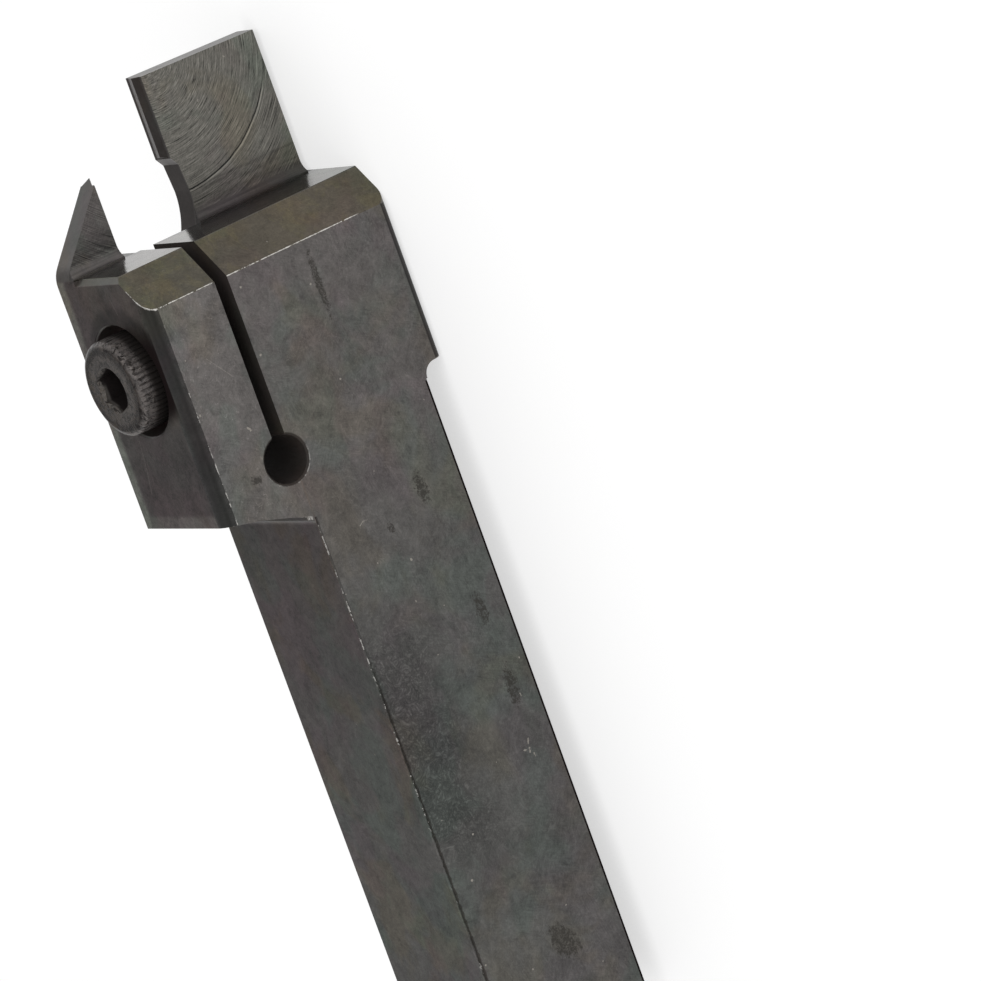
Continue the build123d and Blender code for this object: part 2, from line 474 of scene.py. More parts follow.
@dataclass(frozen=True)
class HolderSteel:
    """Blackened steel of the holder: the colours of its milled faces and of tints, stains and bare steel,
    with painted light and shade among them.
    """

    # Painted light: the side is lighter at the head and darker along the shank, as the light falls off
    # towards the shank's end.
    head_side: Colour = (0.104, 0.096, 0.092, 1.0)
    shank_side: Colour = (0.084, 0.083, 0.079, 1.0)
    head_top: Colour = (0.088, 0.071, 0.070, 1.0)
    shank_top: Colour = (0.100, 0.086, 0.084, 1.0)
    # Painted reflection: the shank's top grows lighter towards its rear end.
    shank_top_painted_reflection: Colour = (0.135, 0.132, 0.125, 1.0)
    rim: Colour = (0.230, 0.224, 0.198, 1.0)
    rounding: Colour = (0.098, 0.090, 0.089, 1.0)
    # Painted shade: the rounding darkens as it turns down towards the side.
    rounding_shaded: Colour = (0.036, 0.033, 0.032, 1.0)
    facet_low: Colour = (0.091, 0.078, 0.059, 1.0)
    facet_high: Colour = (0.076, 0.069, 0.053, 1.0)
    olive: Colour = (0.112, 0.098, 0.058, 1.0)
    front: Colour = (0.105, 0.098, 0.088, 1.0)
    tip: Colour = (0.34, 0.33, 0.315, 1.0)
    blade: Colour = (0.134, 0.128, 0.113, 1.0)
    finger: Colour = (0.084, 0.080, 0.074, 1.0)
    # Painted shade in the fillet where the blade leaves the head's front, strongest under the finger.
    root: Colour = (0.040, 0.035, 0.034, 1.0)
    seat: Colour = (0.062, 0.053, 0.050, 1.0)
    # Painted light: the counterbore's inside is lightened to dark brown, where it lies in deep shade.
    bore: Colour = (0.200, 0.130, 0.125, 1.0)
    shaded: Colour = (0.011, 0.008, 0.008, 1.0)
    hole: Colour = (0.033, 0.026, 0.022, 1.0)
    stain: Colour = (0.030, 0.027, 0.023, 1.0)
    bare: Colour = (0.62, 0.60, 0.57, 1.0)
    chipped: Colour = (0.28, 0.26, 0.23, 1.0)
    tints: tuple[Tint, ...] = (
        Tint((0.90, 1.04, 0.99, 1.0), 0.75, 0.0),
        Tint((1.04, 0.96, 1.02, 1.0), 0.7, 37.0),
        Tint((1.07, 1.0, 0.87, 1.0), 0.65, 71.0),
    )
    roughness: float = 0.36
    metallic: float = 0.7
    bump_depth: float = 0.00003
    bump_strength: float = 0.6


@dataclass(frozen=True)
class HolderTexture:
    """The patterns that mottle, scratch and stain the holder's steel."""

    blotch: Layer = Layer(Pattern(0.14, 6.0, 0.85, 0.6), 1.1, 0.25, 0.5)
    smear: Layer = Layer(Pattern(0.38, 4.0, 0.7, 0.8, (1.0, 1.0, 1.3), (0.0, 0.0, 17.0)), 0.0, 0.9, 0.9)
    grain: Layer = Layer(Pattern(1.4, 5.0, 0.95, 1.2), 0.75, 0.10, 1.1)
    curls: Pattern = Pattern(0.7, 3.0, 0.7, 1.8)
    light: Patch = Patch(Pattern(1.3, 4.0, 0.85, 0.7, shift=(9.0, 0.0, 0.0)), 0.60, 0.68)
    polish: Patch = Patch(Pattern(0.22, 4.0, 0.7, shift=(0.0, 0.0, 31.0)), 0.46, 0.58)
    dark: Patch = Patch(Pattern(0.6, 6.0, 0.8, 1.0, shift=(23.0, 0.0, 0.0)), 0.40, 0.30)
    zone: Pattern = Pattern(0.12, 2.0)
    swirl: Pattern = Pattern(0.42, 3.0, 0.65, 3.0, shift=(0.0, 0.0, 50.0))
    hatch: Pattern = Pattern(1.0, 2.0, 0.7, stretch=(5.0, 0.8, 1.0))
    bands: Pattern = Pattern(1.0, 3.0, 0.7, stretch=(1.9, 1.9, 0.06))
    mill: Pattern = Pattern(1.0, 4.0, 0.8, stretch=(3.5, 1.0, 0.4))
    tint: Patch = Patch(Pattern(0.09, 3.0, 0.55, 0.5), 0.48, 0.62)
    tint_stretch: float = 0.8
    olive: Patch = Patch(Pattern(0.35, 4.0, 0.7, 0.6, (1.0, 0.7, 1.0)), 0.50, 0.60)
    uneven: Pattern = Pattern(0.8, 4.0, 0.7)
    ragged: Pattern = Pattern(1.6, 4.0, 0.8)
    broken: Pattern = Pattern(0.55, 4.0, 0.75)
    jitter: Pattern = Pattern(2.5, 2.0)
    chips_scale: float = 0.5
    stain_edge: Pattern = Pattern(1.1, 4.0, 0.8, stretch=(1.0, 0.0, 1.4))
    stain_flecks: Patch = Patch(Pattern(1.9, 3.0, 0.8, 0.8, (1.0, 0.0, 1.0)), 0.44, 0.50)
    scratch_gaps: Pattern = Pattern(3.0, 3.0, 0.7)
    scuffs: tuple[Scuff, ...] = (
        Scuff(14.0, 0.35, 4.6, 0.0),
        Scuff(-38.0, 0.45, 4.2, 31.0),
        Scuff(62.0, 0.4, 4.4, 67.0),
    )
    scuff_patch: Pattern = Pattern(0.12, 3.0, 0.6)
    arc_lines: Pattern = Pattern(1.0, 2.0, 0.6, stretch=(7.0, 4.0, 1.0))
    arc_wobble: Pattern = Pattern(1.0, 2.0, stretch=(6.0, 1.0, 1.0), shift=(0.0, 3.0, 0.0))
    mottle: Pattern = Pattern(0.6, 4.0, 0.7)
    fine_grain: Pattern = Pattern(4.0, 3.0, 0.7)
    curls_amount: float = 1.3
    scuffs_amount: float = 0.55
    light_amount: float = 0.30
    upper_light: float = 1.4
    polish_amount: float = 0.55
    dark_amount: float = 0.26
    zone_width: float = 8.0
    swirl_amount: float = 3.4
    arcs_amount: float = 2.7
    crisp_amount: float = 0.35
    deep_arc_amount: float = 0.75
    hatch_amount: float = 1.3
    bands_amount: float = 1.7
    mill_amount: float = 0.55


@dataclass(frozen=True)
class ScrewSteel:
    """Blackened steel of the clamp screw, lighter on its ridges, dirty in its grooves and socket, with
    painted shade low on its knurl.
    """

    body: Colour = (0.060, 0.052, 0.049, 1.0)
    ridge: Colour = (0.150, 0.136, 0.131, 1.0)
    lip: Colour = (0.120, 0.110, 0.102, 1.0)
    grime_and_shade: Colour = (0.012, 0.009, 0.008, 1.0)
    rust: Colour = (0.052, 0.039, 0.026, 1.0)
    socket: Colour = (0.013, 0.009, 0.009, 1.0)
    mottle: Pattern = Pattern(0.7, 5.0, 0.8, 0.8)
    grain: Pattern = Pattern(3.0, 4.0, 0.85)
    pits: Patch = Patch(Pattern(1.2, 3.0, 0.7, 0.6), 0.44, 0.40)
    rust_steps: Step = (0.47, 0.56)
    mottle_amount: float = 5.5
    grain_amount: float = 2.5
    darkest: float = 0.3
    roughness: float = 0.36
    metallic: float = 0.45
    specular: float = 0.35
    bump_depth: float = 0.00016
    bump_strength: float = 0.7


@dataclass(frozen=True)
class Faces:
    """A mask for each face or zone of the holder."""

    side: Value
    top: Value
    shank_top: Value
    rounding: Value
    side_or_rounding: Value
    foot_rounding: Value
    shaded_low_edge: Value
    facet: Value
    front: Value
    tip: Value
    blade: Value
    root: Value
    bands: Value
    seat: Value
    bore: Value
    hole: Value
    screw_shadow_patch: Value


@dataclass
class HolderBody:
    """The one-piece holder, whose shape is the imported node's own."""

    node: str = "holder_body"
    steel: HolderSteel = HolderSteel()
    texture: HolderTexture = HolderTexture()
    front: float = 79.4
    near_side: float = -12.5
    far_side: float = 9.6
    shank_top: float = 25.0
    shank_ends: Step = (38.4, 37.8)
    head_starts: Step = (37.0, 37.4)
    head_top: float = 38.9
    rounding_radius: float = 1.95
    foot_bottom: float = -3.9
    foot_rounding: float = 1.4
    heel: float = 50.3
    heel_radius: float = 2.0
    # Painted shade along the shank's low near edge.
    shaded_low_edge: Step = (0.55, 0.47)
    facet: float = 5.4
    blade_near: float = 5.3
    web_near: float = 2.9
    root_width: float = 1.8
    bands_width: float = 4.6
    tip: float = 101.7
    seat_starts: Step = (77.0, 77.4)
    seat_heights: Step = (12.0, 17.6)
    finger_under: float = 29.85
    head_rear: float = 37.55
    head_rear_slant: float = 4.25
    screw_x: float = 64.1
    screw_y: float = -1.45
    bore_radius: float = 8.4
    bore_floor: Step = (33.0, 34.0)
    hole_x: float = 46.8
    hole_z: float = 26.0
    hole_radius: float = 3.5
    hole_chamfer: Step = (0.3, 0.22)
    slot_low: float = 24.9
    slot_high: float = 27.1
    arc_centre_x: float = 104.35
    arc_centre_z: float = 15.88
    arc_radius: float = 20.27
    arc_angles: Span = (-0.9, 0.05, 0.2)
    # Painted shadow of the screw head on the head's top, between the counterbore and the near rounding.
    screw_shadow_part: Span = (61.0, 68.0, 4.0)
    screw_shadow_edge: Step = (-4.0, -8.0)
    shadow_shift: float = 1.6
    shadow_reach: Step = (2.0, 0.2)
    side_light_falloff: Step = (5.0, 60.0)
    upper_blend: Step = (25.0, 31.0)
    shank_top_reflection_blend: Step = (38.0, -30.0)
    facet_blend: Step = (8.0, 36.0)
    dark_edge_part: Step = (20.0, 8.0)
    polish_part: Step = (58.0, 70.0)
    polish_rise: Step = (20.0, 28.0)
    rough_from: Step = (-22.0, -10.0)
    rough_to: Step = (24.0, 12.0)
    rough_rise: Step = (11.0, 19.0)
    facet_part_low: Span = (3.0, 24.5, 2.0)
    facet_part_high: Span = (27.2, 36.8, 1.0)
    facet_foot: Step = (5.0, 2.0)
    rounding_part: Span = (38.0, 50.0, 4.0)
    rounding_part_front: Span = (50.0, 74.5, 2.0)
    shank_part: Span = (13.0, 37.5, 2.0)
    shank_part_end: Step = (13.0, 8.0)
    facet_wear: Wear = Wear(0.14, 0.8)
    facet_foot_wear: Wear = Wear(0.14, 0.3)
    rounding_wear: Wear = Wear(0.14, 0.4, 0.7)
    rounding_front_wear: Wear = Wear(0.14, 0.15, 0.7)
    # Bare steel and a painted highlight where the near rounding meets the facet.
    corner_wear_and_highlight: Wear = Wear(0.20, 1.1)
    top_corner_wear: Wear = Wear(0.12, 0.5)
    shank_wear: Wear = Wear(0.18, 0.45)
    shank_end_wear: Wear = Wear(0.22, 0.12)
    hole_wear: Wear = Wear(0.12, 0.6, 0.3)
    stains: tuple[Mark, ...] = (
        Mark(34.5, 7.1, 2.5, 0.95, 4.0),
        Mark(14.7, 4.6, 2.4, 0.90, 4.0),
        Mark(2.3, 4.2, 3.0, 1.00, -4.0),
        Mark(31.2, 14.0, 0.9, 0.50, 20.0),
        Mark(-34.8, 10.4, 3.0, 1.9, 30.0),
        Mark(46.0, 31.6, 1.0, 0.60, 60.0),
        Mark(67.6, 11.4, 4.8, 0.60, 0.0),
    )
    scratches: tuple[Scratch, ...] = (
        Scratch(33.5, 18.6, 33.9, 17.9, 0.07),
        Scratch(33.9, 17.9, 33.8, 17.2, 0.07),
        Scratch(-5.6, 4.7, -6.3, 4.9, 0.12),
        Scratch(-7.0, 5.0, -7.5, 5.1, 0.14),
        Scratch(-7.9, 4.6, -8.4, 4.5, 0.12),
        Scratch(-7.0, 5.5, -6.9, 6.0, 0.12),
        Scratch(0.9, 3.4, 0.5, 3.3, 0.10),
        Scratch(19.9, 14.2, 20.1, 14.3, 0.12),
        Scratch(64.7, 32.5, 60.8, 29.5, 0.025),
        Scratch(53.3, 30.1, 52.8, 29.8, 0.16),
        Scratch(95.2, 9.5, 95.3, 9.4, 0.12),
        Scratch(99.4, 3.0, 99.5, 3.1, 0.12),
    )
    top_scratches: tuple[Scratch, ...] = (
        Scratch(72.0, 0.4, 72.5, -0.7, 0.16),
        Scratch(72.5, -0.7, 72.5, -1.9, 0.12),
        Scratch(56.3, -3.2, 56.8, -4.4, 0.10),
        Scratch(76.4, -4.0, 74.0, -4.6, 0.025),
        Scratch(55.4, 2.4, 50.8, 3.3, 0.03),
        Scratch(50.8, 3.3, 47.0, 4.5, 0.03),
        Scratch(5.4, -3.2, 5.5, -3.1, 0.13),
        Scratch(0.8, -5.1, 0.9, -5.0, 0.13),
    )

    def faces(self, at: Place) -> Faces:
        """Masks that pick out the holder's faces.

        Args:
            at: the place on the piece.

        Returns:
            A mask for each face.
        """
        x, y, z = at.x, at.y, at.z
        forward = (x - y) / sqrt(2)
        facet = (self.front - self.near_side - self.facet) / sqrt(2)
        arc_side = self.near_side + self.rounding_radius
        arc_top = self.head_top - self.rounding_radius
        foot_top = self.foot_bottom + self.foot_rounding
        foot_start = self.heel - self.heel_radius
        near = y.rise(arc_side + 0.05, arc_side - 0.05)
        top = z.up_to(self.head_top)
        inside = y.rise(self.near_side + 0.02, self.near_side + SKIN)
        under_head = x.between(self.heel + 0.2, self.front - self.facet - 0.2)
        screw_gap = length(x - self.screw_x, y - self.screw_y)
        hole_gap = length(x - self.hole_x, z - self.hole_z) - self.hole_radius
        slot = z.between(self.slot_low, self.slot_high, 0.04) * x.rise(self.hole_x, self.hole_x + 0.2)
        slot = slot * inside * forward.rise(facet, facet - 0.1)
        web = y.between(self.web_near, self.blade_near + 0.1)
        behind = self.front - 0.1
        seat = x.rise(*self.seat_starts) * z.between(*self.seat_heights)
        return Faces(
            side=y.down_to(self.near_side),
            top=top,
            shank_top=z.near(self.shank_top, *FLAT) * x.rise(*self.shank_ends),
            rounding=near * z.rise(arc_top - 0.02, arc_top + 0.02) * x.rise(*self.head_starts),
            side_or_rounding=near * x.rise(self.heel, self.heel + 0.3),
            foot_rounding=near * z.rise(foot_top + 0.02, foot_top - 0.02) * under_head,
            shaded_low_edge=near * z.rise(*self.shaded_low_edge) * x.rise(foot_start, foot_start - 0.4),
            facet=forward.rise(facet - 0.1, facet - 0.04) * x.rise(self.front + 0.1, self.front),
            front=x.near(self.front, *FLAT) * y.rise(self.blade_near - 0.9, self.blade_near - 1.1),
            tip=x.up_to(self.tip),
            blade=y.near(self.blade_near, *FLAT) * x.rise(self.front + 0.1, self.front + 0.3),
            root=x.between(behind, self.front + self.root_width, 0.7) * web,
            bands=x.between(behind, self.front + self.bands_width, 0.7) * web,
            seat=seat * y.between(self.blade_near + 0.3, self.far_side - 0.1, 0.05),
            bore=screw_gap.rise(self.bore_radius + 0.02, self.bore_radius - 0.06) * z.rise(*self.bore_floor),
            hole=any_of(hole_gap.rise(*self.hole_chamfer) * inside, slot),
            # Painted shadow of the screw head beside the counterbore.
            screw_shadow_patch=x.between(*self.screw_shadow_part) * y.rise(*self.screw_shadow_edge) * top,
        )

    def tinted(self, at: Place, colour: Value) -> Value:
        """Large soft patches of green, purple and warm over a colour.

        Args:
            at: the place on the piece.
            colour: the colour to tint.

        Returns:
            The tinted colour.
        """
        on_shank_top = at.z.between(self.shank_top - 0.1, self.shank_top + 0.1)
        for tint in self.steel.tints:
            spot = Place(at.graph, at.x * self.texture.tint_stretch + tint.shift, at.y, at.z)
            patch = self.texture.tint.over(spot) * (tint.amount + on_shank_top * 0.7)
            colour = at.graph.multiply(colour, at.graph.mix(patch, WHITE, tint.colour))
        return colour

    def face_colour(self, at: Place, faces: Faces) -> Value:
        """The plain colour of each face before wear and texture, with painted light and shade on some faces.

        Args:
            at: the place on the piece.
            faces: the face masks.

        Returns:
            The colour.
        """
        graph, x, y, z = at.graph, at.x, at.y, at.z
        # Painted light: the side's colour darkens from the head towards the shank's end.
        colour = graph.mix(x.rise(*self.side_light_falloff), self.steel.shank_side, self.steel.head_side)
        colour = graph.shade(colour, 1.03 + z.rise(*self.upper_blend) * 0.10)
        # Painted reflection: the shank's top lightens towards its rear end.
        shank_top = graph.mix(x.rise(*self.shank_top_reflection_blend), self.steel.shank_top, self.steel.shank_top_painted_reflection)
        colour = graph.mix(faces.shank_top, colour, shank_top)
        colour = graph.mix(faces.top, colour, self.steel.head_top)
        far = y.rise(self.far_side - 2.8, self.far_side - 1.6)
        rear_edge = self.head_rear + self.head_rear_slant
        rear = x.rise(rear_edge + 2.2, rear_edge + 1.4)
        colour = graph.mix(faces.top * any_of(far, rear * 0.5) * 0.8, colour, self.steel.rim)
        # Painted shade: the near rounding darkens from its top to where it meets the side.
        turn = y.rise(self.near_side + self.rounding_radius, self.near_side + 0.1)
        rounding = graph.mix(turn, self.steel.rounding, self.steel.rounding_shaded)
        colour = graph.mix(faces.rounding, colour, rounding)
        # Painted shade: the foot's lower rounding and the line where it starts are darkened.
        groove = z.near(self.foot_bottom + self.foot_rounding, 0.07, 0.08) * faces.side_or_rounding
        colour = graph.mix(any_of(faces.foot_rounding * 0.75, groove * 0.9), colour, self.steel.rounding_shaded)
        facet = graph.mix(z.rise(*self.facet_blend), self.steel.facet_low, self.steel.facet_high)
        colour = graph.mix(faces.facet, colour, facet)
        colour = graph.mix(faces.facet * self.texture.olive.over(at) * 0.4, colour, self.steel.olive)
        finger = z.rise(self.finger_under - 0.2, self.finger_under) * faces.blade
        coats = (
            (faces.front, self.steel.front),
            (faces.tip, self.steel.tip),
            (faces.blade, self.steel.blade),
            (finger, self.steel.finger),
        )
        for mask, coat in coats:
            colour = graph.mix(mask, colour, coat)
        # Painted shade: the blade's root fillet darkens, most under the finger and faintly over the banded
        # zone.
        root = faces.root * z.rise(self.finger_under + 2.0, self.finger_under - 1.0)
        rooted = any_of(root * 0.75, faces.root * 0.15, faces.bands * 0.3)
        colour = graph.mix(rooted, colour, self.steel.root)
        colour = graph.mix(faces.seat * 0.8, colour, self.steel.seat)
        shadow = length(x - self.screw_x - self.shadow_shift, y - self.screw_y + self.shadow_shift)
        shadow = shadow.rise(*(self.bore_radius + reach for reach in self.shadow_reach))
        colour = graph.mix(faces.top * shadow * 0.6, colour, self.steel.shaded)
        edge_gap = length(y - self.near_side, z - self.shank_top + 0.33)
        dark_edge = ((at.noise(self.texture.uneven) - 0.22) * 0.85 - edge_gap).rise(-0.02, 0.06)
        colour = graph.mix(dark_edge * x.rise(*self.dark_edge_part) * 0.85, colour, self.steel.stain)
        # Painted light: the shaded counterbore gets a lighter brown.
        colour = graph.mix(faces.bore, colour, self.steel.bore)
        return graph.mix(faces.hole, colour, self.steel.hole)

    def worn_edges(self, at: Place) -> Value:
        """Mask of the edges that are rubbed to bare steel.

        Args:
            at: the place on the piece.

        Returns:
            The mask, from 0 to 1.
        """
        x, y, z = at.x, at.y, at.z
        ragged = at.noise(self.texture.ragged)
        broken = at.noise(self.texture.broken)

        def line(gap: Value, wear: Wear, limits: Value) -> Value:
            """Wear along an edge.

            Args:
                gap: the distance from the edge.
                wear: how it is rubbed.
                limits: where along the edge it may be.

            Returns:
                The mask of the worn line.
            """
            reach = (ragged - 0.3) * (2.4 * wear.reach)
            kept = broken.rise(0.62 - wear.share * 0.3, 0.68 - wear.share * 0.3)
            return (reach - gap).rise(-0.03, 0.05) * limits * kept * wear.strength

        edge = self.rounding_radius
        arc_top = self.head_top - edge
        side = y - self.near_side
        facet_gap = length(x - (self.front - self.facet), side)
        facet_part = any_of(z.between(*self.facet_part_low), z.between(*self.facet_part_high))
        rounding_gap = length(side, z - arc_top)
        over_arc = length(side - edge, z - arc_top) - edge
        past_facet = (x - y - (self.front - self.near_side - self.facet)) / sqrt(2)
        corner_part = z.rise(arc_top - 0.1, arc_top + 0.3) * side.rise(edge + 0.4, edge - 0.2)
        shank_gap = length(side - 0.17, z - self.shank_top + 0.17)
        hole_gap = length(x - self.hole_x, z - self.hole_z) - self.hole_radius - self.hole_chamfer[0]
        hole_part = x.rise(self.hole_x + 1.5, self.hole_x) * side.rise(0.5, 0.3)
        lines = (
            (facet_gap, self.facet_wear, facet_part),
            (facet_gap, self.facet_foot_wear, z.rise(*self.facet_foot)),
            (rounding_gap, self.rounding_wear, x.between(*self.rounding_part)),
            (rounding_gap, self.rounding_front_wear, x.between(*self.rounding_part_front)),
            (length(over_arc, past_facet), self.corner_wear_and_highlight, corner_part),
            (length(z - self.head_top, past_facet), self.top_corner_wear, side.between(edge, 6.0, 1.0)),
            (shank_gap, self.shank_wear, x.between(*self.shank_part)),
            (shank_gap, self.shank_end_wear, x.rise(*self.shank_part_end)),
            (abs(hole_gap), self.hole_wear, hole_part),
        )
        slope = self.head_rear_slant / (self.head_top - self.shank_top)
        wall = x - self.head_rear - (z - self.shank_top) * slope
        rear = wall.rise(0.30, 0.15) * side.rise(0.2, 0.1) * ragged.rise(0.47, 0.56) * 0.5
        rear = rear * z.rise(self.shank_top + 0.2, self.shank_top + 0.5)
        return any_of(rear, *(line(*parts) for parts in lines))

    def specks(self, at: Place) -> Value:
        """Mask of small scattered chips, each of its own size.

        Args:
            at: the place on the piece.

        Returns:
            The mask, from 0 to 1.
        """
        jitter = at.noise(self.texture.jitter) * 0.35
        gap, random = Place(at.graph, at.x + jitter, at.y, at.z + jitter).cells(self.texture.chips_scale)
        size = (random - 0.72).most(0.0) * 0.42
        return (size - gap).rise(0.0, 0.025)

    def stained(self, at: Place) -> Value:
        """Mask of the dark stains on the near side.

        Args:
            at: the place on the piece.

        Returns:
            The mask, from 0 to 1.
        """
        ragged = (at.noise(self.texture.stain_edge) - 0.5) * 3.0
        masks = []
        for mark in self.stains:
            turn = radians(mark.slant)
            along = (at.x - mark.x) * cos(turn) + (at.z - mark.z) * sin(turn)
            over = (at.z - mark.z) * cos(turn) - (at.x - mark.x) * sin(turn)
            masks.append((length(along / mark.long, over / mark.wide) + ragged).rise(1.15, 0.75))
        return any_of(*masks) * (self.texture.stain_flecks.over(at) * 0.7 + 0.3)

    def scratched(self, marks: tuple[Scratch, ...], x: Value, across: Value) -> Value:
        """Mask of bright scratches that are broken up along their length.

        Args:
            marks: the scratches of one face.
            x: the place along the shank.
            across: the place across that face.

        Returns:
            The mask, from 0 to 1.
        """
        broken = Place(x.graph, x, across, 0.0).noise(self.texture.scratch_gaps)
        masks = []
        for mark in marks:
            run_x = mark.to_x - mark.x
            run_across = mark.to_across - mark.across
            total = run_x * run_x + run_across * run_across
            share = (x - mark.x) * (run_x / total) + (across - mark.across) * (run_across / total)
            share = share.most(0.0).least(1.0)
            gap = length(x - mark.x - share * run_x, across - mark.across - share * run_across)
            masks.append((mark.half * 5.0 * (broken - 0.34) - gap).rise(-0.05, 0.06))
        return any_of(*masks)

    def scuffs(self, at: Place) -> Value:
        """Fine crossing scratches.

        Args:
            at: the place on the piece.

        Returns:
            The scratches as a lightness around 0.
        """
        total: Number = 0.0
        for scuff in self.texture.scuffs:
            turn = radians(scuff.slant)
            along = at.x * cos(turn) + at.z * sin(turn)
            over = at.z * cos(turn) - at.x * sin(turn)
            streak = Pattern(1.0, 2.0, 0.7, stretch=(scuff.along, 2.0, scuff.over))
            lines = Place(at.graph, along, at.y, over).noise(streak) - 0.5
            patch = Place(at.graph, at.x + scuff.shift, at.y, at.z).noise(self.texture.scuff_patch)
            total = lines * patch.rise(0.44, 0.56) + total
        return total

    def arcs(self, at: Place) -> tuple[Value, Value]:
        """The milling arcs on the blade's near face.

        Args:
            at: the place on the piece.

        Returns:
            The fine arcs and the one deep arc, each as a lightness around 0.
        """
        reach = length(at.x - self.arc_centre_x, at.z - self.arc_centre_z)
        angle = (at.z - self.arc_centre_z).angle_to(self.arc_centre_x - at.x)
        fine = Place(at.graph, reach, angle, 0.0).noise(self.texture.arc_lines) - 0.5
        wobble = Place(at.graph, angle, 0.0, 0.0).noise(self.texture.arc_wobble) * 0.35
        gap = reach + wobble - self.arc_radius - 0.17
        deep = gap.near(0.17, 0.06, SKIN) * 1.2 - gap.near(-0.05, 0.06, SKIN) * 1.3
        return fine, deep * angle.between(*self.arc_angles)

    def lightness(self, at: Place, faces: Faces) -> Value:
        """How much lighter or darker each spot is than its face's colour.

        Args:
            at: the place on the piece.
            faces: the face masks.

        Returns:
            A factor around 1.
        """
        x, z = at.x, at.z
        busy = any_of(faces.side, faces.facet * 0.6, faces.blade * 0.3)
        upper = any_of(faces.top * 1.3, faces.shank_top)
        layers = self.texture.blotch.over(at, busy, upper) + self.texture.smear.over(at, busy, upper)
        layers = layers + self.texture.grain.over(at, busy, upper)
        factor = 1.0 + layers * (1.0 - faces.blade * 0.75)
        curls = abs(at.noise(self.texture.curls) - 0.5) - 0.09
        marks = curls * self.texture.curls_amount + self.scuffs(at) * self.texture.scuffs_amount
        factor = factor + marks * (busy * 0.75 + 0.25)
        light = self.texture.light.over(at) * (1.0 + z.rise(*self.upper_blend) * self.texture.upper_light)
        polish = self.texture.polish.over(at) * x.rise(*self.polish_part) * z.rise(*self.polish_rise)
        light = light + polish * self.texture.polish_amount
        dark = self.texture.dark.over(at) * self.texture.dark_amount
        factor = factor + (light * self.texture.light_amount - dark) * busy
        zone = (at.noise(self.texture.zone) - 0.5) * self.texture.zone_width
        rough = (x + zone).rise(*self.rough_to) * (x + zone).rise(*self.rough_from)
        rough = rough * (z + zone).rise(*self.rough_rise) * faces.side
        swirl = abs(at.noise(self.texture.swirl) - 0.5)
        factor = factor * (1.0 + (swirl * self.texture.swirl_amount - 0.50) * rough)
        fine, deep = self.arcs(at)
        crisp = fine.rise(0.12, 0.18) - fine.rise(-0.14, -0.20)
        hatch = Place(at.graph, x + z, x - z, 0.0).noise(self.texture.hatch) - 0.5
        milled = fine * self.texture.arcs_amount + crisp * self.texture.crisp_amount
        milled = milled + deep * self.texture.deep_arc_amount + hatch * self.texture.hatch_amount
        factor = factor * (1.0 + faces.blade * milled)
        bands = (at.noise(self.texture.bands) - 0.5) * self.texture.bands_amount
        factor = factor * (1.0 + faces.bands * bands)
        mill = Place(at.graph, x + at.y, 0.0, z).noise(self.texture.mill) - 0.5
        return factor * (1.0 + faces.facet * mill * self.texture.mill_amount)

    def dress(self) -> None:
        """Gives the node its steel."""
        graph = Graph.of_material("holder_steel")
        at = graph.place()
        faces = self.faces(at)
        colour = self.tinted(at, self.face_colour(at, faces))
        colour = graph.shade(colour, self.lightness(at, faces))
        colour = graph.mix(self.stained(at) * faces.side * 0.85, colour, self.steel.stain)
        chips = self.specks(at) * any_of(faces.side, faces.facet * 0.6)
        colour = graph.mix(chips * 0.9, colour, self.steel.chipped)
        cut = self.scratched(self.scratches, at.x, at.z) * any_of(faces.side, faces.blade)
        cut_top = self.scratched(self.top_scratches, at.x, at.y) * any_of(faces.top, faces.shank_top)
        colour = graph.mix(any_of(cut, cut_top) * 0.85, colour, self.steel.chipped)
        wear = self.worn_edges(at)
        colour = graph.mix(wear, colour, self.steel.bare)

        mottle = at.noise(self.texture.mottle)
        grain = at.noise(self.texture.fine_grain)
        # Painted shade: a matte near-black shader covers the shank's low near edge, the screw head's shadow
        # patch and part of the foot's rounding.
        dark = any_of(faces.shaded_low_edge, faces.screw_shadow_patch, faces.foot_rounding * 0.45)
        dull = any_of(faces.hole, faces.bore) * 0.6
        polished = any_of(faces.front, faces.tip)
        roughness = self.steel.roughness + (mottle - 0.5) * 0.2 - faces.front * 0.20 + dull * 0.6
        metallic = any_of(self.steel.metallic + polished * (1.0 - self.steel.metallic), wear) - dull * 0.7
        normal = graph.bump((grain + mottle) * 0.5, self.steel.bump_depth, self.steel.bump_strength)
        inputs = {"Base Color": colour, "Metallic": metallic, "Roughness": roughness, "Normal": normal}
        shader = graph.node("ShaderNodeBsdfPrincipled", inputs=inputs)
        inputs = {"Base Color": self.steel.shaded, "Roughness": 1.0, "Specular IOR Level": 0.0}
        matte = graph.node("ShaderNodeBsdfPrincipled", inputs=inputs)
        shader = graph.node("ShaderNodeMixShader", inputs={0: dark, 1: shader, 2: matte})
        finish(self.node, graph.surface(shader))


